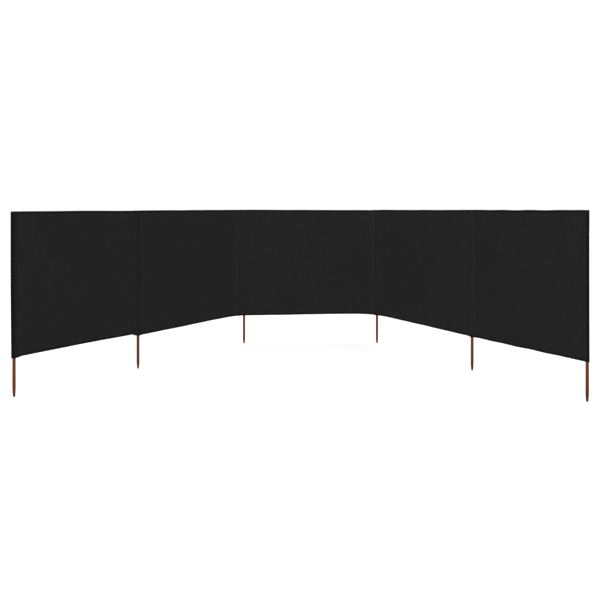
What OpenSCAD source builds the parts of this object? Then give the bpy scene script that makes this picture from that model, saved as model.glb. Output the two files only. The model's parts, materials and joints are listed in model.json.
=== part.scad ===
// Beach windbreak: a strip of black cloth in five bays, sewn into a sleeve at each end and
// between every two bays, with a round wooden pole standing in each sleeve.
// Millimetres, +Z up. The origin is the tip of the left corner pole, +X runs along the
// middle bay to the right corner pole, and the sheltered side is -Y.

/* [Cloth] */

// Height of the cloth from its bottom hem to its top hem
cloth_height = 790; // [600:10:1100]
// Thickness of one layer of cloth
cloth_thickness = 1.2; // [0.8:0.1:2]
// Height of the turned band along the top edge
top_hem_height = 24; // [12:1:40]
// Height of the turned band along the bottom edge
bottom_hem_height = 24; // [12:1:40]

/* [Bays] */

// Pole to pole length of the middle bay
middle_bay = 1000; // [700:10:1400]
// Pole to pole length of the bay on each side of the middle one
inner_bay = 1100; // [700:10:1400]
// Pole to pole length of the bay at each end
outer_bay = 900; // [700:10:1400]
// Turn of the left wing towards the sheltered side, in degrees
left_wing_angle = 56.5; // [20:0.5:75]
// Turn of the right wing towards the sheltered side, in degrees
right_wing_angle = 63; // [20:0.5:75]
// Opening out of the left end bay from its wing, in degrees
left_flare_angle = 1.5; // [0:0.5:15]
// Opening out of the right end bay from its wing, in degrees
right_flare_angle = 1.5; // [0:0.5:15]
// Turn of the left corner sleeve from the middle bay, in degrees
left_sleeve_angle = 6; // [0:1:30]
// Turn of the right corner sleeve from the middle bay, in degrees
right_sleeve_angle = 48; // [20:1:60]
// Reach of the cloth's bend into a wing, from its corner sleeve
wing_bend = 80; // [50:10:200]
// Reach of the cloth's bend into the middle bay, from the right corner sleeve
middle_bend = 170; // [50:10:250]

/* [Poles] */

// Diameter of a pole
pole_diameter = 18; // [14:0.5:25]
// Length of a pole from its tip to its top
pole_length = 990; // [850:10:1400]
// Length of the rounded taper at the tip
tip_length = 45; // [25:1:80]
// Diameter of the flat at the end of the tip
tip_flat = 11; // [6:0.5:13]
// Chamfer round the top of a pole
pole_chamfer = 1.5; // [0.5:0.5:3]

/* [Sleeves] */

// Clearance between a pole and its sleeve, all round
sleeve_clearance = 0.3; // [0.2:0.1:1]
// Distance from a pole's centre to the stitch line that closes its sleeve
sleeve_reach = 26; // [20:1:40]
// Width of the seam that joins a sleeve to a panel
seam_width = 12; // [8:1:20]
// Distance from an end pole's centre to the fold of its sleeve
end_fold_reach = 15.5; // [14.5:0.5:20]
// Inside radius of the fold of an end sleeve
fold_radius = 0.8; // [0.5:0.1:1.5]
// Lean of the cloth that closes a sleeve over the top of its pole, in degrees
sleeve_lean_angle = 40; // [25:1:50]
// Height of the flat sewn edge at the top of a sleeve
closing_seam = 4; // [2:0.5:10]
// Length of sleeve that hangs below the bottom hem
sleeve_drop = 4; // [0:1:15]

/* [Hidden] */

$fn = 64;
// Straight lengths in each curved panel and each arc of a sleeve, and rings in each tip
panel_steps = 22;
arc_steps = 10;
tip_steps = 8;
overshoot = 1;

pole_count = 6;
pole_radius = pole_diameter / 2;
bore_radius = pole_radius + sleeve_clearance;
sleeve_radius = bore_radius + cloth_thickness;
panel_half = cloth_thickness / 2;
seam_half = panel_half + cloth_thickness;
seam_end = sleeve_reach + seam_width;
fold_centre = end_fold_reach - fold_radius - cloth_thickness;
// The sleeve starts to draw in where its cloth clears the chamfer at the top of the pole
sleeve_layer = sleeve_clearance + cloth_thickness;
shoulder_lift = sleeve_layer * (1 / cos(sleeve_lean_angle) - 1) / tan(sleeve_lean_angle);
sleeve_shoulder = pole_length - pole_chamfer + shoulder_lift;
sleeve_rise = (sleeve_radius - seam_half) / tan(sleeve_lean_angle);
cloth_top = sleeve_shoulder + sleeve_rise + closing_seam;
cloth_bottom = cloth_top - cloth_height;
sleeve_bottom = cloth_bottom - sleeve_drop;
sleeve_height = cloth_top - sleeve_bottom;

bay_length = [outer_bay, inner_bay, middle_bay, inner_bay, outer_bay];
bay_heading = [
    left_wing_angle - left_flare_angle,
    left_wing_angle,
    0,
    -right_wing_angle,
    right_flare_angle - right_wing_angle
];
sleeve_heading = [
    bay_heading[0],
    (bay_heading[0] + bay_heading[1]) / 2,
    left_sleeve_angle,
    -right_sleeve_angle,
    (bay_heading[3] + bay_heading[4]) / 2,
    bay_heading[4]
];

function along(angle) = [cos(angle), sin(angle)];
function across(direction) = [-direction[1], direction[0]] / norm(direction);
function bay_step(bay) = bay_length[bay] * along(bay_heading[bay]);

left_corner = [0, 0];
right_corner = left_corner + bay_step(2);
pole_at = [
    left_corner - bay_step(1) - bay_step(0),
    left_corner - bay_step(1),
    left_corner,
    right_corner,
    right_corner + bay_step(3),
    right_corner + bay_step(3) + bay_step(4)
];

// How far a panel keeps to its sleeve's direction before it turns to the next one
function bend(bay, pole) =
    bay == 2 && pole == 3 ? middle_bend :
    bay != 2 && (pole == 2 || pole == 3) ? wing_bend :
    bay_length[bay] / 3;

// The four control points of a panel's line in plan, from seam to seam
function panel_frame(bay) = [
    pole_at[bay] + seam_end * along(sleeve_heading[bay]),
    pole_at[bay] + (seam_end + bend(bay, bay)) * along(sleeve_heading[bay]),
    pole_at[bay + 1] - (seam_end + bend(bay, bay + 1)) * along(sleeve_heading[bay + 1]),
    pole_at[bay + 1] - seam_end * along(sleeve_heading[bay + 1])
];

function line_point(c, t) =
    pow(1 - t, 3) * c[0] + 3 * pow(1 - t, 2) * t * c[1]
    + 3 * (1 - t) * pow(t, 2) * c[2] + pow(t, 3) * c[3];
function line_slope(c, t) =
    pow(1 - t, 2) * (c[1] - c[0]) + 2 * (1 - t) * t * (c[2] - c[1]) + pow(t, 2) * (c[3] - c[2]);

// The panel's line moved sideways by a distance, towards the windward side
function panel_line(bay, distance) = [
    for (i = [0 : panel_steps])
        line_point(panel_frame(bay), i / panel_steps)
        + distance * across(line_slope(panel_frame(bay), i / panel_steps))
];

// The straight edge of a panel inside the seam of one of its sleeves
function panel_tab(pole, sign, distance) =
    pole_at[pole] + sign * sleeve_reach * along(sleeve_heading[pole])
    + distance * across(along(sleeve_heading[pole]));

function reversed(list) = [for (i = [len(list) - 1 : -1 : 0]) list[i]];
function mirrored(list) = [for (point = list) [-point[0], point[1]]];
function arc(centre, radius, from, to) = [
    for (i = [0 : arc_steps]) centre + radius * along(from + (to - from) * i / arc_steps)
];

// Where the cloth leaves the pole on its way to a seam or to a fold
seam_angle = acos((bore_radius - panel_half) / sleeve_reach);
fold_angle = acos((bore_radius - fold_radius) / fold_centre);
function touch_angle(seam) = seam ? seam_angle : fold_angle;

// The right-hand edges of a sleeve in plan, from the sheltered side round to the windward side
seam_start = (sleeve_radius - seam_half * sin(seam_angle)) / cos(seam_angle);
seam_edge = [
    [seam_start, -seam_half],
    [seam_end, -seam_half],
    [seam_end, seam_half],
    [seam_start, seam_half]
];
tunnel_edge = [[bore_radius / cos(seam_angle), 0]];
function fold_edge(extra) = arc([fold_centre, 0], fold_radius + extra, -fold_angle, fold_angle);

// Turned wooden pole with a rounded taper that is blunt at its tip
module pole_shape() {
    rotate_extrude()
        polygon(concat(
            [[0, 0]],
            [for (i = [0 : tip_steps])
                [tip_flat / 2 + (pole_radius - tip_flat / 2) * sin(90 * i / tip_steps),
                 tip_length * i / tip_steps]],
            [[pole_radius, pole_length - pole_chamfer],
             [pole_radius - pole_chamfer, pole_length],
             [0, pole_length]]
        ));
}

// Outline of a sleeve's cloth in plan; a side without a seam closes in a fold
module sleeve_outline(left_seam, right_seam) {
    polygon(concat(
        right_seam ? seam_edge : fold_edge(cloth_thickness),
        arc([0, 0], sleeve_radius, touch_angle(right_seam), 180 - touch_angle(left_seam)),
        reversed(mirrored(left_seam ? seam_edge : fold_edge(cloth_thickness))),
        arc([0, 0], sleeve_radius, 180 + touch_angle(left_seam), 360 - touch_angle(right_seam))
    ));
}

// Outline of the tunnel that the pole stands in, which narrows to each stitch line
module tunnel_outline(left_seam, right_seam) {
    polygon(concat(
        right_seam ? tunnel_edge : fold_edge(0),
        arc([0, 0], bore_radius, touch_angle(right_seam), 180 - touch_angle(left_seam)),
        reversed(mirrored(left_seam ? tunnel_edge : fold_edge(0))),
        arc([0, 0], bore_radius, 180 + touch_angle(left_seam), 360 - touch_angle(right_seam))
    ));
}

// Outline of a sleeve from its end, drawn in above the pole to its flat sewn edge
module sleeve_side() {
    lower = sleeve_shoulder - sleeve_bottom - overshoot / tan(sleeve_lean_angle);
    polygon([
        [-sleeve_radius - overshoot, 0],
        [sleeve_radius + overshoot, 0],
        [sleeve_radius + overshoot, lower],
        [seam_half, sleeve_height - closing_seam],
        [seam_half, sleeve_height],
        [-seam_half, sleeve_height],
        [-seam_half, sleeve_height - closing_seam],
        [-sleeve_radius - overshoot, lower]
    ]);
}

// Outline of the tunnel from its end, one layer of cloth inside the sleeve's
module tunnel_side() {
    peak = (sleeve_radius - cloth_thickness / cos(sleeve_lean_angle)) / tan(sleeve_lean_angle);
    lower = peak - (sleeve_radius + overshoot) / tan(sleeve_lean_angle);
    translate([0, sleeve_shoulder - sleeve_bottom])
        polygon([
            [-sleeve_radius - overshoot, -sleeve_height],
            [sleeve_radius + overshoot, -sleeve_height],
            [sleeve_radius + overshoot, lower],
            [0, peak],
            [-sleeve_radius - overshoot, lower]
        ]);
}

// A side outline carried along the whole length of a sleeve in plan
module through_sleeve() {
    rotate([90, 0, 90])
        linear_extrude(2 * (seam_end + overshoot), center = true)
            children();
}

// The slot between the two layers of a seam that takes the edge of a panel
module panel_slot() {
    translate([sleeve_reach, -panel_half, -overshoot])
        cube([seam_width + overshoot, cloth_thickness, sleeve_height + 2 * overshoot]);
}

// Cloth tube round a pole, closed at its top and sewn to the panels on each side
module sleeve_shape(left_seam, right_seam) {
    difference() {
        intersection() {
            linear_extrude(sleeve_height + overshoot)
                sleeve_outline(left_seam, right_seam);
            through_sleeve() sleeve_side();
        }
        intersection() {
            translate([0, 0, -overshoot])
                linear_extrude(sleeve_height + 2 * overshoot)
                    tunnel_outline(left_seam, right_seam);
            through_sleeve() tunnel_side();
        }
        if (right_seam) panel_slot();
        if (left_seam) mirror([1, 0, 0]) panel_slot();
    }
}

// One flat layer of cloth along a bay's line, between two distances from it
module cloth_layer(bay, near, far) {
    polygon(concat(panel_line(bay, near), reversed(panel_line(bay, far))));
}

module pole(i) {
    color("#6f4232")
        translate(pole_at[i])
            pole_shape();
}

module pole_sleeve(i) {
    color("#262626")
        translate(concat(pole_at[i], sleeve_bottom))
            rotate(sleeve_heading[i])
                sleeve_shape(i > 0, i < pole_count - 1);
}

module cloth_panel(bay) {
    color("#232323")
        translate([0, 0, cloth_bottom])
            linear_extrude(cloth_height)
                polygon(concat(
                    [panel_tab(bay, 1, -panel_half)],
                    panel_line(bay, -panel_half),
                    [panel_tab(bay + 1, -1, -panel_half)],
                    [panel_tab(bay + 1, -1, panel_half)],
                    reversed(panel_line(bay, panel_half)),
                    [panel_tab(bay, 1, panel_half)]
                ));
}

module top_hem(bay) {
    color("#292929")
        translate([0, 0, cloth_top - top_hem_height])
            linear_extrude(top_hem_height)
                cloth_layer(bay, panel_half, seam_half);
}

module bottom_hem(bay) {
    color("#292929")
        translate([0, 0, cloth_bottom])
            linear_extrude(bottom_hem_height)
                cloth_layer(bay, panel_half, seam_half);
}

for (i = [1 : pole_count]) {
    pole(i - 1);
    pole_sleeve(i - 1);
}
for (i = [1 : pole_count - 1]) {
    cloth_panel(i - 1);
    top_hem(i - 1);
    bottom_hem(i - 1);
}
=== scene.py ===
"""Beach windbreak: black woven cloth in five bays, sewn to sleeves on six stained wooden poles.

The cloth, its hems, its sleeves and its stitches are surfaces worked out with numpy on the plan
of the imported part. The poles are turned surfaces that stand where the solid ones do. Lengths are
in metres where nothing else is said, and poles and bays are counted from 0 at the left.
"""

import json
import logging
from collections.abc import Callable
from dataclasses import dataclass, field, replace
from enum import Enum
from functools import partial

import bmesh
import bpy
import numpy as np
from mathutils import Matrix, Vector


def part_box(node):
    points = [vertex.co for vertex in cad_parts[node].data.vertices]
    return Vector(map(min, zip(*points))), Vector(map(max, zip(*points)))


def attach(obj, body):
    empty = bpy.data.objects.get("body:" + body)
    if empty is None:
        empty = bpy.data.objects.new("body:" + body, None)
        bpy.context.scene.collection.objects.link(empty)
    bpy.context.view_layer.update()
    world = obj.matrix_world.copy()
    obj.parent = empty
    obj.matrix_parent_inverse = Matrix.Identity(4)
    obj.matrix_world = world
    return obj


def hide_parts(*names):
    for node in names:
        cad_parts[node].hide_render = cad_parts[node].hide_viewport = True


LOG = logging.getLogger("windbreak")
Array = np.ndarray
Values = Array | float
Span = tuple[float, float]
Place = tuple[float, float, float]
Piece, Material = bpy.types.Object, bpy.types.Material
AddNode = Callable[..., bpy.types.NodeOutputs]
MM = 0.001
TURN = 2.0 * np.pi

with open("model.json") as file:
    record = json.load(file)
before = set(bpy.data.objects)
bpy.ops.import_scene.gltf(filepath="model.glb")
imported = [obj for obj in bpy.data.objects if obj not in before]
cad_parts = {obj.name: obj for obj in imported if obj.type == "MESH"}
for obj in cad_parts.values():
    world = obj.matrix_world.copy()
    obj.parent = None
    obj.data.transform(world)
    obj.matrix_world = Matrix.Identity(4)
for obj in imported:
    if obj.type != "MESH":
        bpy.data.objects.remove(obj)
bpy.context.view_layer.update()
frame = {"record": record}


def smooth_step(value: Values, low: float, high: float) -> Values:
    """Rises from 0 where the value is low to 1 where it is high, along 3t^2 - 2t^3."""
    t = np.clip((value - low) / (high - low), 0.0, 1.0)
    return t * t * (3.0 - 2.0 * t)


def grow(least: float, rise: Values) -> Values:
    """A share that grows evenly from its least to 1 while the rise goes from 0 to 1."""
    return least + (1.0 - least) * rise


def unit(vectors: Array) -> Array:
    """Vectors divided by their own lengths along the last axis."""
    return vectors / np.maximum(np.linalg.norm(vectors, axis=-1, keepdims=True), 1e-12)


def distances(points: Array) -> Array:
    """Distance of each point of a line from its first point, measured along the line."""
    return np.concatenate([[0.0], np.cumsum(np.linalg.norm(np.diff(points, axis=0), axis=1))])


def along_line(at: Array, distance: Array, values: Array) -> Array:
    """Values of a line, n by k, read off at distances along it, where its points have their own."""
    return np.stack([np.interp(at, distance, column) for column in values.T], axis=-1)


def join(*parts: Values) -> Array:
    """Coordinates put together along one more axis, each stretched to the shape of them all."""
    return np.stack(np.broadcast_arrays(*parts), axis=-1)


def level_normal(points: Array) -> Array:
    """Level normals of a line of points, n by 3: its direction turned a quarter to the left."""
    ahead = unit(np.gradient(points, axis=0))
    return join(-ahead[:, 1], ahead[:, 0], 0.0)


@dataclass(frozen=True)
class Waves:
    """Random sine waves over cloth, from a seeded generator, so that every run gives the same cloth.

    The height is that of their sum, shared out evenly. The least and the most turns a metre are
    given along the cloth and up it.
    """

    seed: int
    count: int
    height: float
    along: Span
    up: Span

    def at(self, piece: int, s: Values, up: Values) -> Values:
        """Sum of the waves: each is its height * sin(turns along + turns up + phase).

        Args:
            piece: number of the piece of cloth, which is added to the seed.
            s: distance along the cloth.
            up: height.

        Returns:
            The height of the rippled surface at each place.
        """
        draw = np.random.default_rng(self.seed + piece)
        turns_along = draw.uniform(*self.along, self.count) * draw.choice([-1.0, 1.0], self.count)
        turns_up = draw.uniform(*self.up, self.count)
        start = draw.uniform(0.0, 1.0, self.count)
        phase = np.multiply.outer(s, turns_along) + np.multiply.outer(up, turns_up) + start
        return (self.height / np.sqrt(self.count) * np.sin(TURN * phase)).sum(axis=-1)


BILLOWS = Waves(40, 5, 3.2 * MM, (0.4, 1.4), (0.2, 1.3))
ROLL_CREASES = Waves(60, 4, 0.55 * MM, (5.0, 9.0), (0.1, 0.5))
LEFT_PUCKERS = Waves(80, 5, 0.55 * MM, (0.5, 4.0), (28.0, 60.0))
RIGHT_PUCKERS = replace(LEFT_PUCKERS, seed=100)
EDGE_WANDER = Waves(120, 4, 0.6 * MM, (1.5, 5.0), (0.0, 0.1))
SLEEVE_WAVES = Waves(200, 5, 0.35 * MM, (2.0, 12.0), (6.0, 30.0))


def make_mesh(
    name: str, points: Array, faces: Array, uv: Array | None = None, tone: Array | None = None
) -> Piece:
    """Puts whole arrays of points and four-sided faces into a new smooth mesh object.

    Args:
        name: name of the piece.
        points: corner points, n by 3.
        faces: corner numbers of the faces, m by 4.
        uv: a flat place for each point, n by 2, or None.
        tone: share of new cloth's light that each point gives back, n, or None.

    Returns:
        The object, at the origin and linked to the scene.
    """
    mesh = bpy.data.meshes.new(name)
    mesh.vertices.add(len(points))
    mesh.vertices.foreach_set("co", points.astype(np.float32).ravel())
    mesh.loops.add(faces.size)
    mesh.loops.foreach_set("vertex_index", faces.astype(np.int32).ravel())
    mesh.polygons.add(len(faces))
    mesh.polygons.foreach_set("loop_start", np.arange(0, faces.size, 4, dtype=np.int32))
    mesh.polygons.foreach_set("use_smooth", np.ones(len(faces), bool))
    if uv is not None:
        layer = mesh.uv_layers.new(name="cloth")
        layer.data.foreach_set("uv", uv[faces.ravel()].astype(np.float32).ravel())
    if tone is not None:
        worn = mesh.attributes.new("tone", "FLOAT", "POINT")
        worn.data.foreach_set("value", tone.astype(np.float32))
    mesh.update(calc_edges=True)
    mesh.validate()
    piece = bpy.data.objects.new(name, mesh)
    bpy.context.scene.collection.objects.link(piece)
    return piece


def grid_faces(rows: int, columns: int, start: int = 0, wrap: bool = False) -> Array:
    """Corner numbers of the quads of a grid whose points are stored row by row.

    Args:
        rows: number of rows of points.
        columns: number of points in a row.
        start: number of the grid's first point.
        wrap: whether the last column joins the first.

    Returns:
        The quads, m by 4, turned anticlockwise when columns run right and rows run up.
    """
    row = np.arange(rows - 1)[:, None] * columns
    column = np.arange(columns if wrap else columns - 1)[None, :]
    after = (column + 1) % columns
    above = row + columns
    quad = np.stack([row + column, row + after, above + after, above + column], axis=-1)
    return quad.reshape(-1, 4) + start


def thick_sheet(name: str, centre: Array, uv: Array, tone: Array, thickness: float) -> Piece:
    """A closed sheet of cloth round a grid of centre points.

    The two faces are the grid moved half the thickness each way along its normals, the cross products
    of its two slopes. The rim is one more line of points, half a thickness out from the grid's edge,
    so that the edge of the cloth is rounded.

    Args:
        name: name of the piece.
        centre: centre points, rows by columns by 3.
        uv: their flat places, rows by columns by 2.
        tone: their shares of new cloth's light, rows by columns.
        thickness: thickness of the cloth.

    Returns:
        The sheet's object.
    """
    rows, columns = centre.shape[:2]
    count = rows * columns
    half = thickness / 2
    slope_v, slope_u = np.gradient(centre, axis=0), np.gradient(centre, axis=1)
    normal = unit(np.cross(slope_u, slope_v))
    number = np.arange(count).reshape(rows, columns)
    ring = np.concatenate([number[0, :-1], number[:-1, -1], number[-1, :0:-1], number[:0:-1, 0]])
    outward = np.zeros_like(centre)
    outward[0] -= unit(slope_v[0])
    outward[-1] += unit(slope_v[-1])
    outward[:, 0] -= unit(slope_u[:, 0])
    outward[:, -1] += unit(slope_u[:, -1])
    rim = centre.reshape(-1, 3)[ring] + half * unit(outward.reshape(-1, 3)[ring])
    edge = np.arange(len(ring)) + 2 * count
    after = np.roll(np.arange(len(ring)), -1)
    faces = [
        grid_faces(rows, columns),
        grid_faces(rows, columns, count)[:, ::-1],
        np.stack([ring[after], ring, edge, edge[after]], axis=1),
        np.stack([edge[after], edge, ring + count, ring[after] + count], axis=1),
    ]
    front, back = ((centre + way * normal).reshape(-1, 3) for way in (half, -half))
    grids = (uv.reshape(-1, 2), tone.reshape(-1))
    flat, worn = (np.concatenate([grid, grid, grid[ring]]) for grid in grids)
    return make_mesh(name, np.concatenate([front, back, rim]), np.concatenate(faces), flat, worn)


@dataclass(frozen=True)
class Sweep:
    """A value that changes along a bay, given at its left end, its middle and its right end."""

    left: float
    middle: float
    right: float

    def at(self, share: Array) -> Array:
        """Parabola through the three values.

        Args:
            share: share of the bay's length from its left end, from 0 to 1.

        Returns:
            The value at each share.
        """
        left = self.left * (1.0 - share) * (1.0 - 2.0 * share)
        middle = self.middle * 4.0 * share * (1.0 - share)
        return left + middle + self.right * share * (2.0 * share - 1.0)


@dataclass(frozen=True)
class PressedEdge:
    """The darker line along an edge of cloth that has been folded and pressed."""

    loss: float = 0.62
    dark: float = 9.0 * MM
    clear: float = 16.0 * MM

    def tone(self, distance: Array) -> Array:
        """Share of light given back: 1 - loss up to the dark distance, then a smooth rise to 1."""
        return 1.0 - self.loss * (1.0 - smooth_step(distance, self.dark, self.clear))


@dataclass(frozen=True)
class BayFit:
    """How one bay hangs and has faded.

    Its edges stand off level by top and bottom, in millimetres. Its cloth gives back more light than
    new cloth by the share fade, and by the share bend_fade in the bend beside its right sleeve.
    """

    top: Sweep
    bottom: Sweep
    fade: Sweep
    bend_fade: float = 0.0


@dataclass(frozen=True)
class SleeveFit:
    """How one sleeve is sewn and has faded.

    Its sewn top stands top_lift millimetres off level, its mouth rises mouth_lift millimetres towards
    its left seam, and the fold of an end sleeve hangs looser by the share slack. Its cloth gives back
    more light than new cloth by the share fade, and by a streak that runs up it, streak_at millimetres
    from the pole's centre, from streak_low to streak_top.
    """

    top_lift: float
    mouth_lift: float = 0.0
    slack: float = 0.0
    fade: float = 0.0
    streak_at: float = 0.0
    streak_low: float = 0.0
    streak_top: float = 0.0


BAYS = (
    BayFit(Sweep(-2.4, -1.2, -2.4), Sweep(-1.5, 6.4, 8.4), Sweep(-0.05, -0.06, -0.01)),
    BayFit(Sweep(-0.3, 0.0, 0.0), Sweep(-3.0, -4.0, -7.0), Sweep(-0.01, 0.04, 0.24)),
    BayFit(Sweep(1.0, -1.6, -3.2), Sweep(-4.0, -6.0, -3.6), Sweep(0.07, 0.07, 0.11), bend_fade=0.3),
    BayFit(Sweep(-0.4, -0.6, 1.6), Sweep(-4.2, -2.6, -2.6), Sweep(0.21, 0.04, 0.06)),
    BayFit(Sweep(2.0, 1.2, 3.0), Sweep(-2.4, -4.4, -5.6), Sweep(-0.03, -0.06, 0.01)),
)
SLEEVES = (
    SleeveFit(-2.4, slack=0.34, fade=-0.03, streak_at=4.0, streak_low=-0.22, streak_top=-0.22),
    SleeveFit(-1.2, mouth_lift=6.0, streak_at=-2.0, streak_low=-0.42, streak_top=-0.3),
    SleeveFit(0.4, fade=0.06, streak_at=-14.0, streak_low=0.08, streak_top=0.06),
    SleeveFit(-1.6, fade=0.12, streak_at=-26.0, streak_low=0.2, streak_top=0.55),
    SleeveFit(1.8),
    SleeveFit(2.4, slack=-0.08, fade=0.01),
)


@dataclass(frozen=True)
class Plan:
    """Where the poles stand and how the cloth runs between them; headings are in degrees."""

    poles: Array
    left_corner_sleeve: float = 6.0
    right_corner_sleeve: float = -48.0
    wing_bend: float = 80.0 * MM
    middle_bend: float = 170.0 * MM
    stitch_reach: float = 26.0 * MM
    seam_end: float = 38.0 * MM
    curve_points: int = 801
    tab_points: int = 13

    @classmethod
    def from_record(cls, record: dict) -> "Plan":
        """Takes the poles' places from the feet that the record has as mounts."""
        feet = sorted(record["mounts"], key=lambda mount: mount["name"])
        return cls(np.array([foot["pos_m"][:2] for foot in feet]))

    @property
    def steps(self) -> Array:
        """Steps from each pole to the next, 5 by 2."""
        return np.diff(self.poles, axis=0)

    @property
    def sleeve_headings(self) -> Array:
        """Headings of the six sleeves: those of the bays beside them, or their own at the corners.

        Returns:
            The headings, from the left.
        """
        bay = np.degrees(np.arctan2(self.steps[:, 1], self.steps[:, 0]))
        own = [self.left_corner_sleeve, self.right_corner_sleeve]
        return np.array([bay[0], bay[:2].mean(), *own, bay[3:].mean(), bay[4]])

    def direction(self, pole: int) -> Array:
        """Unit vector in plan along a pole's sleeve."""
        angle = np.radians(self.sleeve_headings[pole])
        return np.array([np.cos(angle), np.sin(angle)])

    def bend(self, bay: int, pole: int) -> float:
        """Reach of a bay's curve along a pole's heading: its own at a corner, or a third of the bay."""
        own = {(1, 2): self.wing_bend, (2, 3): self.middle_bend, (3, 3): self.wing_bend}
        return own.get((bay, pole), float(np.linalg.norm(self.steps[bay])) / 3.0)

    def bay_line(self, bay: int) -> Array:
        """The line of a bay's cloth in plan, from the stitch line of its left sleeve to that of its right.

        It is a cubic curve between the two seams, tangent to both sleeves, with the straight edges
        inside the seams added at its ends.

        Args:
            bay: number of the bay.

        Returns:
            Points of the line, n by 2.
        """
        start, end = self.poles[bay], self.poles[bay + 1]
        head, tail = self.direction(bay), self.direction(bay + 1)
        c0, c3 = start + self.seam_end * head, end - self.seam_end * tail
        c1, c2 = c0 + self.bend(bay, bay) * head, c3 - self.bend(bay, bay + 1) * tail
        t = np.linspace(0.0, 1.0, self.curve_points)[:, None]
        curve = (1 - t) ** 3 * c0 + 3 * (1 - t) ** 2 * t * c1 + 3 * (1 - t) * t**2 * c2 + t**3 * c3
        tab = np.linspace(self.stitch_reach, self.seam_end, self.tab_points)[:-1, None]
        return np.concatenate([start + tab * head, curve, (end - tab * tail)[::-1]])


def srgb(code: str) -> tuple[float, float, float, float]:
    """Linear colour of an sRGB hex value.

    Args:
        code: six hex digits after a hash sign.

    Returns:
        Linear red, green and blue, with alpha 1.
    """
    value = np.array([int(code[i : i + 2], 16) for i in (1, 3, 5)]) / 255.0
    linear = np.where(value <= 0.04045, value / 12.92, ((value + 0.055) / 1.055) ** 2.4)
    return float(linear[0]), float(linear[1]), float(linear[2]), 1.0


def add_node(material: Material, kind: str, inputs: dict | None = None) -> bpy.types.NodeOutputs:
    """Adds one node to a material, with its settings, socket values and links.

    Args:
        material: material that gets the node.
        kind: name of the node's type, without the words that all types share.
        inputs: attribute names, or socket names or numbers, to values or to the sockets that feed them.

    Returns:
        The new node's outputs.
    """
    tree = material.node_tree
    node = tree.nodes.new(f"ShaderNode{kind}")
    for key, value in (inputs or {}).items():
        if isinstance(value, bpy.types.NodeSocket):
            tree.links.new(value, node.inputs[key])
        elif isinstance(key, str) and hasattr(node, key):
            setattr(node, key, value)
        else:
            node.inputs[key].default_value = value
    return node.outputs


class Finish:
    """A named finish, which becomes a material of nodes that feed one main shader."""

    name: str

    def surface(self, add: AddNode) -> dict:
        """Inputs of the main shader, where add puts one more node into the material."""
        raise NotImplementedError

    def make(self) -> Material:
        """Builds the finish.

        Returns:
            The finished material.
        """
        material = bpy.data.materials.new(self.name)
        material.use_nodes = True
        material.node_tree.nodes.clear()
        add = partial(add_node, material)
        shader = add("BsdfPrincipled", self.surface(add))
        add("OutputMaterial", {"Surface": shader[0]})
        return material


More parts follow.
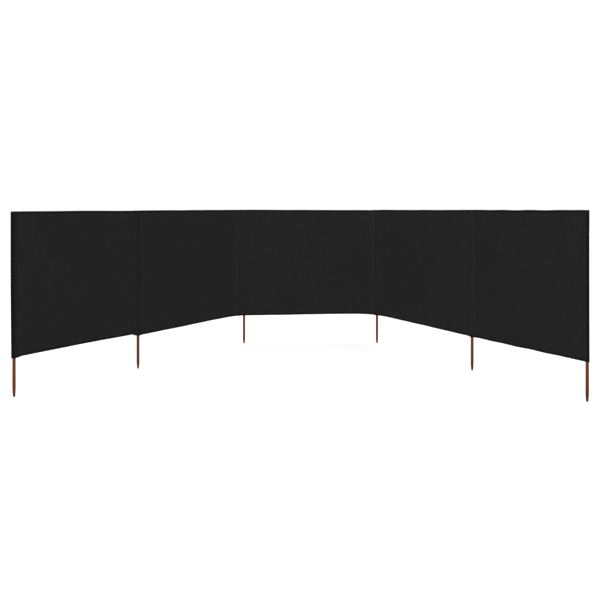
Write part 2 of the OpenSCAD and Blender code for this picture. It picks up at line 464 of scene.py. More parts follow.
@dataclass(frozen=True)
class WovenPolyester(Finish):
    """Plain-woven black polyester, dyed in the yarn and left matt.

    The eye gets a deep neutral black with no highlight, a trace of sheen at a slant, the small checker
    of threads that pass over and under each other, and faint streaks where a thread is thicker.
    """

    name: str = "black_woven_polyester"
    dark: str = "#121212"
    light: str = "#1c1c1c"
    roughness: float = 0.9
    roughness_spread: float = 0.06
    ior: float = 1.46
    specular: float = 0.06
    sheen: float = 0.01
    sheen_roughness: float = 0.5
    # A thread is 0.4 mm wide in the real cloth; it is drawn at 1.1 mm so that near views show it.
    thread: float = 1.1 * MM
    # A thick place in a thread is about a hand's breadth long and a few threads wide.
    slub_length: float = 90.0 * MM
    slub_width: float = 10.0 * MM
    slub_relief: float = 0.5
    cloud: float = 450.0 * MM
    cloud_share: float = 0.35
    weave_share: float = 0.4
    weave_low: float = 0.55
    weave_high: float = 1.8
    bump: float = 0.7
    bump_height: float = 0.25 * MM

    def surface(self, add: AddNode) -> dict:
        """Weaves the pattern on the cloth's own UV map, which is in metres.

        A thread's height is the product of two sines. Noise drawn out along each thread gives the
        slubs, and wide noise the clouds.

        Args:
            add: puts one more node into the material.

        Returns:
            Inputs of the main shader.
        """
        place = add("UVMap", {"uv_map": "cloth"})[0]
        split = add("SeparateXYZ", {0: place})
        half_turn = {"operation": "MULTIPLY", 1: np.pi / self.thread}
        angles = [add("Math", {**half_turn, 0: split[way]})[0] for way in (0, 1)]
        warp, weft = (add("Math", {"operation": "SINE", 0: angle})[0] for angle in angles)
        over = add("Math", {"operation": "MULTIPLY", 0: warp, 1: weft})[0]
        thin, long = 1.0 / self.slub_width, 1.0 / self.slub_length
        scales = ((long, thin, 1.0), (thin, long, 1.0))
        ways = [add("Mapping", {"Scale": scale, "Vector": place})[0] for scale in scales]
        streak = {"Scale": 1.0, "Detail": 3.0, "Roughness": 0.55}
        slub_weft, slub_warp = (add("TexNoise", {**streak, "Vector": way})[0] for way in ways)
        slubs = add("Math", {"operation": "ADD", 0: slub_weft, 1: slub_warp})[0]
        cloud = add("TexNoise", {"Scale": 1.0 / self.cloud, "Detail": 2.0, "Vector": place})[0]
        mottle = add("Math", {"operation": "MULTIPLY_ADD", 0: cloud, 1: self.cloud_share, 2: slubs})[0]
        weave = add("Math", {"operation": "MULTIPLY_ADD", 0: over, 1: self.weave_share, 2: mottle})[0]
        shades = {"From Min": self.weave_low, "From Max": self.weave_high}
        tone = add("MapRange", {**shades, "Value": weave})[0]
        new = add("Mix", {"data_type": "RGBA", 0: tone, 6: srgb(self.dark), 7: srgb(self.light)})[2]
        worn = add("Attribute", {"attribute_name": "tone"})["Fac"]
        colour = add("VectorMath", {"operation": "SCALE", 0: new, "Scale": worn})[0]
        low, high = self.roughness - self.roughness_spread, self.roughness + self.roughness_spread
        rough = add("MapRange", {"To Min": low, "To Max": high, "Value": tone})[0]
        height = add("Math", {"operation": "MULTIPLY_ADD", 0: slubs, 1: self.slub_relief, 2: over})[0]
        bump = add("Bump", {"Strength": self.bump, "Distance": self.bump_height, "Height": height})[0]
        shine = {"Roughness": rough, "IOR": self.ior, "Specular IOR Level": self.specular}
        sheen = {"Sheen Weight": self.sheen, "Sheen Roughness": self.sheen_roughness}
        return {"Base Color": colour, "Normal": bump, **shine, **sheen}


@dataclass(frozen=True)
class SewingThread(Finish):
    """Spun black polyester thread of two plies.

    The eye gets short slanting bands where the plies wind round each other, a little glossier than
    the cloth that the thread holds.
    """

    name: str = "black_spun_thread"
    dark: str = "#151515"
    light: str = "#2e2e2e"
    roughness: float = 0.7
    specular: float = 0.12
    sheen: float = 0.02
    ply: float = 0.9 * MM
    ply_angle: float = 34.0
    # The wave node makes one band every 0.314 units at scale 1.
    node_band: float = 0.314
    waver: float = 0.4
    bump: float = 0.4
    bump_height: float = 0.1 * MM

    def surface(self, add: AddNode) -> dict:
        """Winds the plies on the stitches' own UV map, which is in metres.

        Args:
            add: puts one more node into the material.

        Returns:
            Inputs of the main shader.
        """
        place = add("UVMap", {"uv_map": "cloth"})[0]
        slant = (0.0, 0.0, np.radians(self.ply_angle))
        turned = add("Mapping", {"Rotation": slant, "Vector": place})[0]
        bands = {"Scale": self.node_band / self.ply, "Distortion": self.waver}
        wave = add("TexWave", {**bands, "Vector": turned})[1]
        colour = add("Mix", {"data_type": "RGBA", 0: wave, 6: srgb(self.dark), 7: srgb(self.light)})[2]
        bump = add("Bump", {"Strength": self.bump, "Distance": self.bump_height, "Height": wave})[0]
        shine = {"Roughness": self.roughness, "Specular IOR Level": self.specular}
        return {"Base Color": colour, "Normal": bump, "Sheen Weight": self.sheen, **shine}


@dataclass(frozen=True)
class StainedHardwood(Finish):
    """Turned hardwood dowel, stained red-brown and oiled.

    The eye gets fine grain drawn out along the pole, short dark pores, a satin sheen that follows the
    grain, and a tip that is nearly black where the ground has worn and stained it.
    """

    name: str = "stained_turned_hardwood"
    pale: str = "#5e2c0a"
    deep: str = "#401b06"
    pore: str = "#261004"
    tip: str = "#0e0705"
    roughness: float = 0.5
    rough_less: float = 0.1
    rough_more: float = 0.15
    ior: float = 1.5
    specular: float = 0.07
    # A cell of the noise holds a dark grain and a pale one, or a pore and the wood beside it.
    grain: float = 2.4 * MM
    grain_stretch: float = 33.0
    grain_low: float = 0.5
    grain_high: float = 0.9
    pore_width: float = 0.7 * MM
    pore_stretch: float = 16.0
    pore_low: float = 0.6
    pore_high: float = 0.72
    pore_cover: float = 0.7
    pore_depth: float = 0.15 * MM
    pore_bump: float = 0.3
    stain: float = 110.0 * MM
    stain_share: float = 0.4
    tip_low: float = 16.0 * MM
    tip_high: float = 42.0 * MM
    tip_uneven: float = 30.0 * MM
    tip_cover: float = 0.9

    def surface(self, add: AddNode) -> dict:
        """Draws the grain on Object coordinates, drawn out along Z, and darkens the tip.

        Args:
            add: puts one more node into the material.

        Returns:
            Inputs of the main shader.
        """
        place = add("TexCoord")["Object"]
        along_grain, along_pore = (
            add("Mapping", {"Scale": (1.0, 1.0, 1.0 / stretch), "Vector": place})[0]
            for stretch in (self.grain_stretch, self.pore_stretch)
        )
        fibres = {"Scale": 1.0 / (2 * self.grain), "Detail": 5.0, "Roughness": 0.6, "Distortion": 0.4}
        grain = add("TexNoise", {**fibres, "Vector": along_grain})[0]
        vessels = {"Scale": 1.0 / (2 * self.pore_width), "Detail": 2.0}
        pores = add("TexNoise", {**vessels, "Vector": along_pore})[0]
        stain = add("TexNoise", {"Scale": 1.0 / self.stain, "Detail": 2.0, "Vector": place})[0]
        blend = add("Math", {"operation": "MULTIPLY_ADD", 0: stain, 1: self.stain_share, 2: grain})[0]
        shades = {"From Min": self.grain_low, "From Max": self.grain_high}
        tone = add("MapRange", {**shades, "Value": blend})[0]
        wood = add("Mix", {"data_type": "RGBA", 0: tone, 6: srgb(self.deep), 7: srgb(self.pale)})[2]
        open_pore = {"From Min": self.pore_low, "From Max": self.pore_high, "To Max": self.pore_cover}
        pore = add("MapRange", {**open_pore, "Value": pores})[0]
        pored = add("Mix", {"data_type": "RGBA", 0: pore, 6: wood, 7: srgb(self.pore)})[2]
        height = add("SeparateXYZ", {0: place})[2]
        uneven = add("Math", {"operation": "MULTIPLY_ADD", 0: stain, 1: self.tip_uneven, 2: height})[0]
        reach = {"From Min": self.tip_low, "From Max": self.tip_high}
        wear = {"interpolation_type": "SMOOTHSTEP", "To Min": self.tip_cover, "To Max": 0.0}
        worn = add("MapRange", {**wear, **reach, "Value": uneven})[0]
        colour = add("Mix", {"data_type": "RGBA", 0: worn, 6: pored, 7: srgb(self.tip)})[2]
        satin = {"To Min": self.roughness - self.rough_less, "To Max": self.roughness + self.rough_more}
        rough = add("MapRange", {**satin, "Value": grain})[0]
        sunk = {"Strength": self.pore_bump, "Distance": self.pore_depth, "invert": True}
        bump = add("Bump", {**sunk, "Height": pore})[0]
        shine = {"Roughness": rough, "IOR": self.ior, "Specular IOR Level": self.specular}
        return {"Base Color": colour, "Normal": bump, **shine}


@dataclass(frozen=True)
class PaintedFloor(Finish):
    """Matt white studio paint: the eye gets an even white with a trace of unevenness and no gloss."""

    name: str = "matt_white_paint"
    low: str = "#f4f4f4"
    high: str = "#f8f8f8"
    roughness: float = 0.9
    patch: float = 330.0 * MM

    def surface(self, add: AddNode) -> dict:
        """Mottles the paint on Object coordinates.

        Args:
            add: puts one more node into the material.

        Returns:
            Inputs of the main shader.
        """
        place = add("TexCoord")["Object"]
        noise = add("TexNoise", {"Scale": 1.0 / self.patch, "Vector": place})[0]
        colour = add("Mix", {"data_type": "RGBA", 0: noise, 6: srgb(self.low), 7: srgb(self.high)})[2]
        return {"Base Color": colour, "Roughness": self.roughness, "Specular IOR Level": 0.0}


class Slot(Enum):
    """The record's material slots."""

    CLOTH = "black_cloth"
    WOOD = "stained_wood"


class Layer(Enum):
    """The side of a panel that a sleeve's layer of cloth lies on."""

    SHELTERED = -1.0
    WINDWARD = 1.0


def place_piece(piece: Piece, material: Material, slot: Slot, *nodes: str) -> None:
    """Gives a piece its material, its body, its slot and the solids that it stands for.

    Args:
        piece: the finished object.
        material: its material.
        slot: the record's slot that it takes its finish from.
        nodes: names of the solids that it stands for.
    """
    piece.data.materials.append(material)
    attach(piece, "root")
    if nodes:
        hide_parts(*nodes)
    LOG.info("%s: %d faces, stands for %s", piece.name, len(piece.data.polygons), list(nodes))


@dataclass(frozen=True)
class StitchLine:
    """A row of lockstitches: each is a short thread that arches over the cloth between two holes."""

    pitch: float = 4.2 * MM
    length: float = 3.3 * MM
    width: float = 0.7 * MM
    height: float = 0.55 * MM
    sunk: float = 0.1 * MM
    # Share of a stitch's width that is left at its ends.
    end_share: float = 0.35
    rings: int = 4
    # Four sides, so that one face closes each end.
    sides: int = 4

    def faces(self, count: int) -> Array:
        """Corner numbers of stitches: the quads of a tube and one quad over each end.

        Args:
            count: number of stitches.

        Returns:
            The quads of all of them, n by 4.
        """
        size = self.rings * self.sides
        tube = grid_faces(self.rings, self.sides, wrap=True)[:, ::-1]
        first = np.arange(self.sides)
        one = np.concatenate([tube, [first, size - 1 - first]])
        return (one[None] + np.arange(count)[:, None, None] * size).reshape(-1, 4)

    def surface(self, points: Array, normal: Array) -> tuple[Array, Array, Array]:
        """A row of stitches along a line on the cloth.

        A stitch is a tube of four sides round an arch: at share t of its length its centre is lifted
        by height * sin(pi t), and its radius grows from its end share to width / 2 in the same way.

        Args:
            points: the line on the cloth's face, n by 3.
            normal: the face's outward normal at those points, n by 3.

        Returns:
            Points, faces and flat places of all the stitches.
        """
        distance = distances(points)
        count = max(1, int((distance[-1] - self.length) / self.pitch))
        first = (distance[-1] - (count - 1) * self.pitch - self.length) / 2
        t = np.linspace(0.0, 1.0, self.rings)
        at = first + np.arange(count)[:, None] * self.pitch + t[None, :] * self.length
        centre = along_line(at, distance, points)
        up = unit(along_line(at, distance, normal))
        aside = unit(np.cross(unit(np.gradient(centre, axis=1)), up))
        arch = np.sin(np.pi * t)[None, :, None]
        centre = centre + up * (self.height * arch - self.sunk)
        turn = np.linspace(0.0, TURN, self.sides, endpoint=False)
        radius = self.width / 2 * grow(self.end_share, arch)
        ring = np.cos(turn)[:, None] * aside[:, :, None, :] + np.sin(turn)[:, None] * up[:, :, None, :]
        body = centre[:, :, None, :] + radius[:, :, None, :] * ring
        flat = np.stack(np.meshgrid(turn * self.width / 2, t * self.length), axis=-1)
        flat = np.broadcast_to(flat, (count, self.rings, self.sides, 2))
        return body.reshape(-1, 3), self.faces(count), flat.reshape(-1, 2)

    def sew(self, name: str, rows: list[tuple[Array, Array]]) -> Piece:
        """One mesh of several rows of stitches.

        Args:
            name: name of the piece.
            rows: points and normals of each row.

        Returns:
            The stitches' object.
        """
        points, faces, flat = zip(*(self.surface(*row) for row in rows))
        starts = np.cumsum([0] + [len(part) for part in points[:-1]])
        joined = np.concatenate([part + start for part, start in zip(faces, starts)])
        return make_mesh(name, np.concatenate(points), joined, np.concatenate(flat))


@dataclass
class ClothBay:
    """One bay of cloth with its turned hems, from one sleeve's seam to the next."""

    plan: Plan
    bay: int
    fit: BayFit
    bottom: float
    height: float
    thickness: float = 0.9 * MM
    hem: float = 24.0 * MM
    hem_gap: float = 1.15 * MM
    stitch_inset: float = 3.0 * MM
    stitch_end: float = 2.0 * MM
    stitch_points: int = 700
    edge: PressedEdge = PressedEdge()
    # Distances from a seam over which the billows and the puckers come up from nothing.
    billow_rise: Span = (10.0 * MM, 160.0 * MM)
    pucker_rise: Span = (11.0 * MM, 20.0 * MM)
    pucker_reach: float = 45.0 * MM
    pucker_fall: float = 1.3
    # Share of the billows' height that is left at the hems.
    hem_billow: float = 0.35
    # Shares of the height over which the top's hang comes in and the bottom's dies away.
    top_pull: Span = (0.2, 1.0)
    bottom_pull: Span = (0.0, 0.8)
    # The faded bend: its distance from the seam, its width, the shares of the height between which its
    # fading rises, and its share of fading below them.
    bend_at: float = 16.0 * MM
    bend_width: float = 24.0 * MM
    bend_rise: Span = (0.5, 0.9)
    bend_low: float = 0.6
    # Distance between the bays in the weave's pattern.
    pattern_step: float = 1.3
    columns: int = 150
    # How much the columns crowd towards the poles, from 0 to 1.
    crowding: float = 0.45
    rows: int = 74
    edge_rows: int = 6
    back_rows: int = 8
    turn_rows: int = 7
    line: Array = field(init=False)
    distance: Array = field(init=False)

    def __post_init__(self) -> None:
        """Works out the bay's line in plan."""
        self.line = self.plan.bay_line(self.bay)
        self.distance = distances(self.line)

    @property
    def length(self) -> float:
        """Length of the bay's cloth between its two stitch lines."""
        return float(self.distance[-1])

    def share(self, s: Array) -> Array:
        """Share of the bay's length at a distance along it, from 0 to 1."""
        return np.clip(s / self.length, 0.0, 1.0)

    def high(self, up: Values) -> Values:
        """Share of the cloth's height at a height above its bottom edge, from 0 to 1."""
        return np.clip(up / self.height, 0.0, 1.0)

    def profile(self) -> Array:
        """Section of the cloth from the windward edge of its bottom hem to that of its top hem.

        The path runs down the back of the bottom hem, round a half circle under the edge, up the
        face, round a half circle over the top edge, and down the back of the top hem.

        Returns:
            Distances from the bay's line, windward positive, and heights above the bottom edge, n by 2.
        """
        r = self.hem_gap / 2
        turn = np.linspace(0.0, np.pi, self.turn_rows)
        back = np.linspace(self.hem, r, self.back_rows)[:-1]
        near = np.linspace(r, self.edge.clear, self.edge_rows)[1:]
        face = np.linspace(self.edge.clear, self.height - self.edge.clear, self.rows)[1:-1]
        face = np.concatenate([near, face, (self.height - near)[::-1]])
        half = np.concatenate([join(2 * r, back), join(r + r * np.cos(turn), r - r * np.sin(turn))])
        other_half = half[::-1] * [1.0, -1.0] + [0.0, self.height]
        return np.concatenate([half, join(0.0, face), other_half])

    def relief(self, s: Array, up: Values) -> Array:
        """How far the cloth stands off its line: soft billows, old roll creases and seam puckers.

        Billows are long waves that die away at the poles and the hems; roll creases are upright waves
        a hand's breadth apart; puckers are short waves up each seam that die away in 40 mm.

        Args:
            s: distance along the cloth.
            up: height above the bottom edge.

        Returns:
            The relief, windward positive.
        """
        rest = self.length - s
        ends = smooth_step(s, *self.billow_rise) * smooth_step(rest, *self.billow_rise)
        tall = grow(self.hem_billow, np.sin(np.pi * self.high(up)))
        billow, roll = (waves.at(self.bay, s, up) for waves in (BILLOWS, ROLL_CREASES))
        free = smooth_step(s, *self.pucker_rise) * smooth_step(rest, *self.pucker_rise)
        pucker = sum(
            np.exp(-((far / self.pucker_reach) ** self.pucker_fall)) * waves.at(self.bay, s, up)
            for waves, far in ((LEFT_PUCKERS, s), (RIGHT_PUCKERS, rest))
        )
        return ends * (tall * billow + roll) + free * pucker

    def lift(self, s: Array, up: Values) -> Array:
        """Height added to the cloth: its edges hang in parabolas between the poles and wander a little.

        Args:
            s: distance along the cloth.
            up: height above the bottom edge.

        Returns:
            The added height.
        """
        high, share = self.high(up), self.share(s)
        wander = np.sin(np.pi * share) * EDGE_WANDER.at(self.bay, s, 0.0)
        top = MM * self.fit.top.at(share) * smooth_step(high, *self.top_pull)
        bottom = MM * self.fit.bottom.at(share) * (1.0 - smooth_step(high, *self.bottom_pull))
        return top + bottom + wander

    def tone(self, s: Array, up: Array) -> Array:
        """Share of light given back: faded along the bay and in its bend, and less at the hems' edges.

        The bend lies beside the right sleeve, and is faded most near the top.

        Args:
            s: distance along the cloth.
            up: height above the bottom edge.

        Returns:
            The share at each place.
        """
        bend = np.exp(-(((self.length - s - self.bend_at) / self.bend_width) ** 2))
        tall = grow(self.bend_low, smooth_step(up / self.height, *self.bend_rise))
        fade = self.fit.fade.at(self.share(s)) + self.fit.bend_fade * bend * tall
        return (1.0 + fade) * self.edge.tone(np.minimum(up, self.height - up))

    def point(self, s: Array, away: Values, up: Values) -> Array:
        """Places of the cloth: its line in plan, moved across by away and relief, at its height.

        Args:
            s: distance along the cloth.
            away: distance from the cloth's face, windward positive.
            up: height above the bottom edge.

        Returns:
            Points, with one more axis of 3.
        """
        step = 0.5 * MM
        shifted = [s, s - step, s + step]
        place, before, after = (along_line(at, self.distance, self.line) for at in shifted)
        ahead = unit(after - before)
        off = away + self.relief(s, np.clip(up, 0.0, self.height))
        x, y = place[..., 0] - ahead[..., 1] * off, place[..., 1] + ahead[..., 0] * off
        return join(x, y, self.bottom + up + self.lift(s, up))

    def build(self) -> Piece:
        """Carries the section along the bay's line, with its columns closer together near the poles.

        Returns:
            The bay's cloth.
        """
        section = self.profile()
        away, up = section[:, :1], section[:, 1:]
        even = np.linspace(0.0, 1.0, self.columns)
        s = self.length * ((1.0 - self.crowding) * even + self.crowding * smooth_step(even, 0.0, 1.0))
        uv = join(s + self.pattern_step * self.bay, distances(section)[:, None])
        centre = self.point(s, away, up)
        return thick_sheet(f"cloth_{self.bay + 1}", centre, uv, self.tone(s, up), self.thickness)

    def stitch_rows(self) -> list[tuple[Array, Array]]:
        """Lines of the hem stitches, on both sides of the cloth, just inside each hem's edge.

        Returns:
            Points and normals of each row.
        """
        end = self.plan.seam_end - self.plan.stitch_reach + self.stitch_end
        s = np.linspace(end, self.length - end, self.stitch_points)
        rows = []
        inside = self.hem - self.stitch_inset
        for up in (inside, self.height - inside):
            for away, side in ((-self.thickness / 2, -1.0), (self.hem_gap + self.thickness / 2, 1.0)):
                points = self.point(s, away, up)
                rows.append((points, side * level_normal(points)))
        return rows

    def dress(self, cloth: Material, thread: Material) -> None:
        """Builds the bay and its stitches and gives them their materials.

        Args:
            cloth: material of the cloth.
            thread: material of the stitches.
        """
        number = self.bay + 1
        piece = self.build()
        solids = [f"{kind}_{number}" for kind in ("cloth_panel", "top_hem", "bottom_hem")]
        place_piece(piece, cloth, Slot.CLOTH, *solids)
        stitches = StitchLine().sew(f"hem_stitches_{number}", self.stitch_rows())
        place_piece(stitches, thread, Slot.CLOTH)


@dataclass
class PoleSleeve:
    """The cloth tube round one pole, sewn to the panels beside it and closed over the pole's top."""

    plan: Plan
    pole: int
    fit: SleeveFit
    bottom: float
    level_top: float
    pole_top: float
    pole_radius: float = 9.0 * MM
    clearance: float = 0.35 * MM
    thickness: float = 0.9 * MM
    panel_half: float = 0.55 * MM
    seam_soft: float = 0.8 * MM
    closing_seam: float = 4.0 * MM
    closing_soft: float = 0.6 * MM
    fold_reach: float = 15.2 * MM
    fold_radius: float = 1.2 * MM
    # Distances from the middle plane over which the cloth gets loose.
    loose: Span = (0.6 * MM, 5.0 * MM)
    # The bow of an end sleeve's fold: its share at the mouth, and the half turns of its sine.
    bow_low: float = 0.3
    bow_turns: float = 0.77
    flare: float = 0.7 * MM
    flare_reach: float = 18.0 * MM
    hem: float = 24.0 * MM
    hem_soft: float = 5.0 * MM
    drop: float = 4.0 * MM
    # The cloth stands out by the bulge where the hems end under it, at these distances from the pole.
    bulge: float = 1.05 * MM
    bulge_rise: Span = (18.0 * MM, 25.0 * MM)
    corner_drop: float = 1.4 * MM
    corner_rise: Span = (6.0 * MM, 16.0 * MM)
    corner_reach: float = 20.0 * MM
    draw_rise: Span = (6.0 * MM, 32.0 * MM)
    draw_reach: float = 60.0 * MM
    streak_width: float = 14.0 * MM
    edge: PressedEdge = PressedEdge()
    # Distance between the sleeves in the weave's pattern.
    pattern_step: float = 0.37
    # Rows of points are closer together in the zones at the mouth and the top.
    mouth_zone: float = 34.0 * MM
    top_zone: float = 32.0 * MM
    mouth_rows: int = 14
    middle_rows: int = 60
    top_rows: int = 28
    columns: int = 45
    arc_points: int = 9
    straight_points: int = 6
    fold_points: int = 7
    # The seam's stitches lie this far past the stitch line and short of the seam's end.
    stitch_inner: float = 2.0 * MM
    stitch_outer: float = 2.5 * MM
    stitch_ends: Span = (10.0 * MM, 4.0 * MM)
    mouth_stitch: float = 7.0 * MM
    top_stitch: float = 2.0 * MM
    stitch_points: int = 400
    cross_points: int = 90

    @property
    def top(self) -> float:
        """Height of the sleeve's sewn top."""
        return self.level_top + self.fit.top_lift * MM

    @property
    def open_side(self) -> float:
        """Side of an end sleeve that has no seam, -1 or 1, or 0 for a sleeve between two bays."""
        return {0: -1.0, len(self.plan.poles) - 1: 1.0}.get(self.pole, 0.0)

    @property
    def seam_level(self) -> float:
        """Distance of a layer's middle from the panel's middle, in the seam."""
        return self.panel_half + self.thickness / 2

    @property
    def radius(self) -> float:
        """Radius of the middle of the cloth round the pole."""
        return self.pole_radius + self.clearance + self.thickness / 2

    def soft_floor(self, value: Values, soft: float) -> Values:
        """The larger of a distance and the seam's level, with a corner rounded by soft between them."""
        over = value - self.seam_level
        return self.seam_level + 0.5 * (over + np.sqrt(over**2 + soft**2))

    def lens(self, x: Values) -> Values:
        """Half thickness of the tunnel in plan, measured to the middle of the cloth.

        Over the pole it is the arc of a circle; beyond the point where the tangent to the stitch
        line leaves the arc it is that tangent, and past the stitch line it is the seam's own level.

        Args:
            x: distance from the pole's centre along the sleeve.

        Returns:
            Distance from the sleeve's middle plane.
        """
        angle = np.arccos((self.radius - self.seam_level) / self.plan.stitch_reach)
        far, touch = np.abs(x), self.radius * np.cos(angle)
        arc = np.sqrt(self.radius**2 - np.minimum(far, touch) ** 2)
        tangent = (self.radius - far * np.cos(angle)) / np.sin(angle)
        return self.soft_floor(np.where(far < touch, arc, tangent), self.seam_soft)

    def section(self) -> list[tuple[str, Array]]:
        """Lines of the sleeve's layers in plan, in the sleeve's own axes.

        A sleeve between two bays has two layers. An end sleeve is one layer that runs in from its
        seam, over the pole, round a small fold and back the same way on the other side.

        Returns:
            Each layer's label, and its distances along and across, windward positive, n by 2.
        """
        end = self.plan.seam_end
        if not self.open_side:
            x = np.linspace(-end, end, self.columns)
            return [(layer.name.lower(), join(x, layer.value * self.lens(x))) for layer in Layer]
        bend = self.fold_radius + self.thickness / 2
        nose = self.fold_reach - bend
        angle = np.arccos((self.radius - bend) / nose)
        x = np.linspace(end, 0.0, self.columns // 2)[:-1]
        arc = np.linspace(0.5 * np.pi, np.pi - angle, self.arc_points)
        turn = np.linspace(np.pi - angle, np.pi, self.fold_points)
        over = self.radius * join(np.cos(arc), np.sin(arc))
        fold = bend * join(np.cos(turn), np.sin(turn)) - [nose, 0.0]
        straight = over[-1] + np.linspace(0.0, 1.0, self.straight_points)[1:-1, None] * (fold[0] - over[-1])
        upper = np.concatenate([join(x, self.lens(x)), over, straight, fold])
        path = np.concatenate([upper, upper[-2::-1] * [1.0, -1.0]])
        return [("loop", path if self.open_side < 0 else path[::-1] * [-1.0, 1.0])]

    def squeeze(self, up: Values) -> Values:
        """Largest distance of the cloth from the middle plane at a height, where it closes over the pole.

        Below the pole's top it is free; above, it falls in a straight line to the seam's level.

        Args:
            up: height.

        Returns:
            The largest distance.
        """
        shoulder = self.pole_top + self.clearance
        slope = (self.radius - self.seam_level) / (self.top - self.closing_seam - shoulder)
        return self.soft_floor(self.radius - (up - shoulder) * slope, self.closing_soft)

    def open(self, x: Values) -> Values:
        """Whether a place lies on the side of an end sleeve that has no seam."""
        return x * self.open_side > 0

    def share(self, up: Values) -> Values:
        """Share of the sleeve's height at a height, from 0 at its mouth to 1 at its top."""
        return np.clip((up - self.bottom) / (self.top - self.bottom), 0.0, 1.0)

    def near_mouth(self, up: Values, reach: float) -> Values:
        """Falls from 1 at the mouth to 0 at a reach above it."""
        return 1.0 - smooth_step(up, self.bottom, self.bottom + reach)

    def in_hem(self, up: Values) -> Values:
        """Share of the hems' extra layer that lies in the seam at a height, from 0 to 1."""
        low, high = self.bottom + self.drop + self.hem, self.top - self.hem
        return 1.0 - smooth_step(up, low, low + self.hem_soft) + smooth_step(up, high - self.hem_soft, high)

    def point(self, x: Values, across: Values, up: Values) -> Array:
        """Places of the sleeve's cloth, turned to the sleeve's heading and moved to its pole.

        The cloth lies at its own distance from the middle plane or where the closed top draws it in,
        whichever is less. Short waves and a flare at the mouth are added where it is loose, and a
        bulge where it passes over a hem. The fold of an end sleeve bows out along a sine and drops at
        its top corner, and the mouth is drawn up towards its left seam.

        Args:
            x: distance along the sleeve.
            across: distance across it, windward positive.
            up: height.

        Returns:
            Points, with one more axis of 3.
        """
        least, power = 1e-7, 12.0
        side, off = np.sign(across), np.maximum(np.abs(across) - self.seam_level, least)
        limit = np.maximum(self.squeeze(up) - self.seam_level, least)
        # A smooth least of the two, which is nothing where either is nothing.
        closed = (off**-power + limit**-power) ** (-1.0 / power)
        bow = grow(self.bow_low, np.sin(self.bow_turns * np.pi * self.share(up)))
        x = np.where(self.open(x), x * (1.0 + self.fit.slack * bow), x)
        flare = self.flare * self.near_mouth(up, self.flare_reach)
        ruffle = (np.abs(SLEEVE_WAVES.at(self.pole, x, up)) + flare) * smooth_step(off, *self.loose)
        over_hem = (side > 0) & ~self.open(x)
        bulge = self.bulge * self.in_hem(up) * smooth_step(np.abs(x), *self.bulge_rise) * over_hem
        across = side * (self.seam_level + closed + ruffle + bulge)
        corner = self.corner_drop * smooth_step(np.abs(x), *self.corner_rise) * self.open(x)
        corner = corner * smooth_step(up, self.top - self.corner_reach, self.top)
        drawn = smooth_step(-x, *self.draw_rise) * self.near_mouth(up, self.draw_reach)
        up = up - corner + self.fit.mouth_lift * MM * drawn
        head, place = self.plan.direction(self.pole), self.plan.poles[self.pole]
        east = place[0] + x * head[0] - across * head[1]
        return join(east, place[1] + x * head[1] + across * head[0], up)

    def tone(self, x: Array, up: Array) -> Array:
        """Share of light given back: faded all over and in a streak, and less at the edges and the fold.

        The streak is a bell curve across the sleeve and changes evenly from its mouth to its top.

        Args:
            x: distance along the sleeve.
            up: height.

        Returns:
            The share at each place.
        """
        streak = self.fit.streak_low + (self.fit.streak_top - self.fit.streak_low) * self.share(up)
        near = np.exp(-(((x - self.fit.streak_at * MM) / self.streak_width) ** 2))
        edge = np.minimum(up - self.bottom, self.top - up)
        if self.open_side:
            edge = np.minimum(edge, self.fold_reach - x * self.open_side)
        return (1.0 + self.fit.fade + streak * near) * self.edge.tone(edge)

    def heights(self) -> Array:
        """Heights of the rows of points, closer together near the mouth and the closed top.

        Returns:
            The heights, from the mouth to the top.
        """
        low, high = self.bottom + self.mouth_zone, self.top - self.top_zone
        middle = np.linspace(low, high, self.middle_rows)[1:-1]
        mouth = np.linspace(self.bottom, low, self.mouth_rows)
        return np.concatenate([mouth, middle, np.linspace(high, self.top, self.top_rows)])

    def stitch_rows(self) -> list[tuple[Array, Array]]:
        """Lines of the two rows of stitches up each seam, on both sides, and across the mouth and top.

        Returns:
            Points and normals of each row.
        """
        head = self.plan.direction(self.pole)
        out = np.array([-head[1], head[0], 0.0])
        sides = [side for side in (-1.0, 1.0) if side != self.open_side]
        end = self.plan.seam_end - self.stitch_inner
        x_ends = [0.0 if side == self.open_side else side * end for side in (-1.0, 1.0)]
        x_across = np.linspace(*x_ends, self.cross_points)
        low, high = self.bottom + self.stitch_ends[0], self.top - self.stitch_ends[1]
        up = np.linspace(low, high, self.stitch_points)
        reaches = (self.plan.stitch_reach + self.stitch_inner, self.plan.seam_end - self.stitch_outer)
        rows = []
        for layer in Layer:
            face = layer.value * out
            for x in (side * reach for reach in reaches for side in sides):
                points = self.point(x, layer.value * self.lens(x), up) + face * self.thickness / 2
                rows.append((points, np.broadcast_to(face, points.shape)))
            for height in (self.bottom + self.mouth_stitch, self.top - self.top_stitch):
                points = self.point(x_across, layer.value * self.lens(x_across), height)
                normal = layer.value * level_normal(points)
                rows.append((points + normal * self.thickness / 2, normal))
        return rows

    def dress(self, cloth: Material, thread: Material) -> None:
        """Carries each layer's line up the pole, adds the stitches and gives them their materials.

        Args:
            cloth: material of the cloth.
            thread: material of the stitches.
        """
        number = self.pole + 1
        stitches = StitchLine().sew(f"sleeve_stitches_{number}", self.stitch_rows())
        place_piece(stitches, thread, Slot.CLOTH)
        for label, line in self.section():
            x, up = line[:, 0], self.heights()[:, None]
            centre = self.point(x, line[:, 1], up)
            uv = join(distances(line) + self.pattern_step * self.pole, up)
            piece = thick_sheet(f"sleeve_{number}_{label}", centre, uv, self.tone(x, up), self.thickness)
            place_piece(piece, cloth, Slot.CLOTH, f"pole_sleeve_{number}")


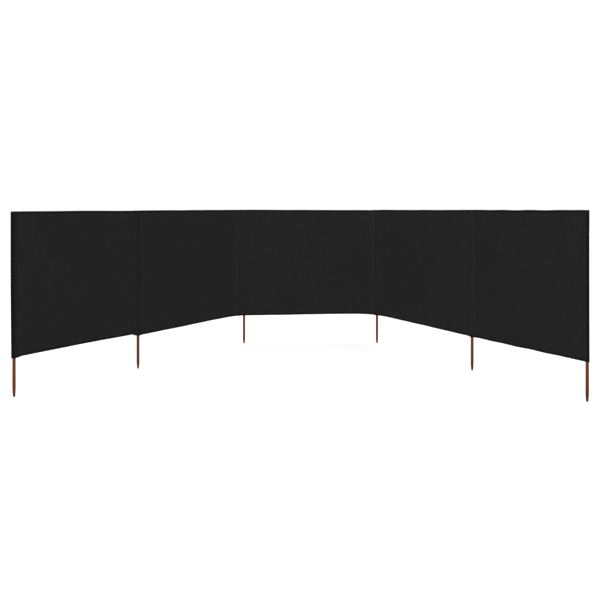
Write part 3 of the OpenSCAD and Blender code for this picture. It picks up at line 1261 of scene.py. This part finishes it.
@dataclass
class WoodenPole:
    """A turned wooden pole with a rounded top and a blunt bullet tip."""

    plan: Plan
    pole: int
    length: float
    radius: float = 9.0 * MM
    tip: float = 45.0 * MM
    tip_flat: float = 11.0 * MM
    tip_round: float = 1.2 * MM
    chamfer: float = 1.5 * MM
    # The lathe's two waves: lobes round the pole, heights, and the radians that they turn in a metre.
    lobes: int = 3
    lobe: float = 0.06 * MM
    lobe_twist: float = 31.0
    waist: float = 0.05 * MM
    waist_rate: float = 90.0
    sides: int = 40
    rings: int = 42
    tip_rings: int = 18
    round_rings: int = 6
    merge: float = 0.001 * MM

    def outline(self) -> Array:
        """Radius and height of the pole from the middle of its tip to the middle of its top.

        The tip's radius is half its flat plus the rest times the sine of 90 degrees times the share
        of its length; the edges of the flat and of the top are rounded.

        Returns:
            Radii and heights, n by 2.
        """
        share = np.linspace(0.0, 1.0, self.tip_rings)[1:]
        turn = np.linspace(0.0, 0.5 * np.pi, self.round_rings)
        flat = self.tip_flat / 2
        core = flat - self.tip_round
        shank = np.linspace(self.tip, self.length - self.chamfer, self.rings)[1:-1]
        rounded = self.radius - self.chamfer * (1.0 - np.cos(turn))
        parts = [
            ([0.0, 0.5 * core], 0.0),
            (core + self.tip_round * np.sin(turn), self.tip_round * (1.0 - np.cos(turn))),
            (flat + (self.radius - flat) * np.sin(0.5 * np.pi * share), self.tip * share),
            (self.radius, shank),
            (rounded, self.length - self.chamfer * (1.0 - np.sin(turn))),
            ([0.5 * self.radius, 0.0], self.length),
        ]
        return np.concatenate([join(*part) for part in parts])

    def build(self) -> Piece:
        """Turns the outline about the pole's axis, with the slight waver of a hand-fed lathe.

        The waver is a wave of three lobes round the pole that twists as it rises and a wave along it,
        both taken off the full radius.

        Returns:
            The pole.
        """
        outline = self.outline()
        turn, up = np.linspace(0.0, TURN, self.sides, endpoint=False), outline[:, 1:]
        lobe = self.lobe * np.sin(self.lobes * turn + self.lobe_twist * up + self.pole)
        waist = self.waist * np.sin(self.waist_rate * up + 2.0 * self.pole)
        radius = outline[:, :1] * (1.0 + (lobe + waist - (self.lobe + self.waist)) / self.radius)
        place = self.plan.poles[self.pole]
        x, y = place[0] + radius * np.cos(turn), place[1] + radius * np.sin(turn)
        points = join(x, y, up).reshape(-1, 3)
        faces = grid_faces(len(outline), self.sides, wrap=True)
        piece = make_mesh(f"wooden_pole_{self.pole + 1}", points, faces)
        # The first ring and the last lie in one point each, which closes the ends.
        shape = bmesh.new()
        shape.from_mesh(piece.data)
        bmesh.ops.remove_doubles(shape, verts=shape.verts, dist=self.merge)
        shape.to_mesh(piece.data)
        shape.free()
        return piece

    def dress(self, wood: Material) -> None:
        """Builds the pole and gives it its material."""
        place_piece(self.build(), wood, Slot.WOOD, f"pole_{self.pole + 1}")


@dataclass
class Studio:
    """White floor, even soft light and the camera of the photograph."""

    floor_size: float = 60.0
    floor_lines: int = 7
    camera_place: Place = (0.4216, -5.8619, 1.0213)
    focal_px: float = 779.2
    horizon_px: float = 207.4
    roll: float = 0.00094
    frame_px: float = 600.0
    sensor_mm: float = 36.0
    far_limit: float = 200.0
    world_strength: float = 1.0
    top_strength: float = 1.05
    top_angle: float = 50.0
    key_place: Place = (-0.2, -20.0, 6.0)
    key_target: Place = (0.4, -0.6, 0.5)
    key_size: float = 6.0
    key_power: float = 3000.0

    def floor(self) -> None:
        """Lays the floor on the level of the poles' tips."""
        line = np.linspace(-self.floor_size / 2, self.floor_size / 2, self.floor_lines)
        points = join(line, line[:, None], 0.0).reshape(-1, 3)
        piece = make_mesh("floor", points, grid_faces(self.floor_lines, self.floor_lines))
        piece.data.materials.append(PaintedFloor().make())

    def key_lamp(self) -> None:
        """Hangs one large soft lamp above and behind the camera, with its back away from its target."""
        lamp = bpy.data.lights.new("key_lamp", "AREA")
        lamp.shape, lamp.size, lamp.energy = "SQUARE", self.key_size, self.key_power
        ahead = unit(np.subtract(self.key_target, self.key_place))
        aside = unit(np.cross(ahead, [0.0, 0.0, 1.0]))
        matrix = np.eye(4)
        matrix[:3] = np.stack([aside, np.cross(aside, ahead), -ahead, self.key_place], axis=1)
        holder = bpy.data.objects.new("key_lamp", lamp)
        holder.matrix_world = Matrix(matrix.tolist())
        bpy.context.scene.collection.objects.link(holder)

    def light(self) -> None:
        """Lights the scene with a white sky, a wide soft top light and one big lamp above the camera."""
        world = bpy.data.worlds.new("studio_white")
        world.use_nodes = True
        sky = world.node_tree.nodes["Background"]
        sky.inputs["Color"].default_value = (1.0, 1.0, 1.0, 1.0)
        sky.inputs["Strength"].default_value = self.world_strength
        bpy.context.scene.world = world
        top = bpy.data.lights.new("top_light", "SUN")
        top.energy, top.angle = self.top_strength, np.radians(self.top_angle)
        bpy.context.scene.collection.objects.link(bpy.data.objects.new("top_light", top))
        self.key_lamp()

    def camera(self) -> None:
        """Sets the photograph's camera: level, facing the middle bay, with its horizon above the middle."""
        data = bpy.data.cameras.new("camera")
        data.sensor_width = self.sensor_mm
        data.lens = self.focal_px * self.sensor_mm / self.frame_px
        data.shift_y = (self.horizon_px - self.frame_px / 2) / self.frame_px
        data.clip_end = self.far_limit
        holder = bpy.data.objects.new("camera", data)
        holder.location = self.camera_place
        holder.rotation_euler = (np.pi / 2, self.roll, 0.0)
        bpy.context.scene.collection.objects.link(holder)
        bpy.context.scene.camera = holder

    def build(self) -> None:
        """Sets up the floor, the light, the camera and plain colour."""
        self.floor()
        self.light()
        self.camera()
        view = bpy.context.scene.view_settings
        view.view_transform, view.look, view.exposure, view.gamma = "Standard", "None", 0.0, 1.0


def main() -> None:
    """Builds the windbreak from its poles out, then the studio."""
    logging.basicConfig(level=logging.INFO, format="%(name)s: %(message)s")
    plan = Plan.from_record(frame["record"])
    wood, cloth, thread = (finish().make() for finish in (StainedHardwood, WovenPolyester, SewingThread))
    low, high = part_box("cloth_panel_1")
    bottom, top = float(low[2]), float(high[2])
    mouth = float(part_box("pole_sleeve_1")[0][2])
    pole_top = float(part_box("pole_1")[1][2])
    for pole, fit in enumerate(SLEEVES):
        WoodenPole(plan, pole, pole_top).dress(wood)
        PoleSleeve(plan, pole, fit, mouth, top, pole_top).dress(cloth, thread)
    for bay, fit in enumerate(BAYS):
        ClothBay(plan, bay, fit, bottom, top - bottom).dress(cloth, thread)
    Studio().build()


if __name__ == "__main__":
    main()
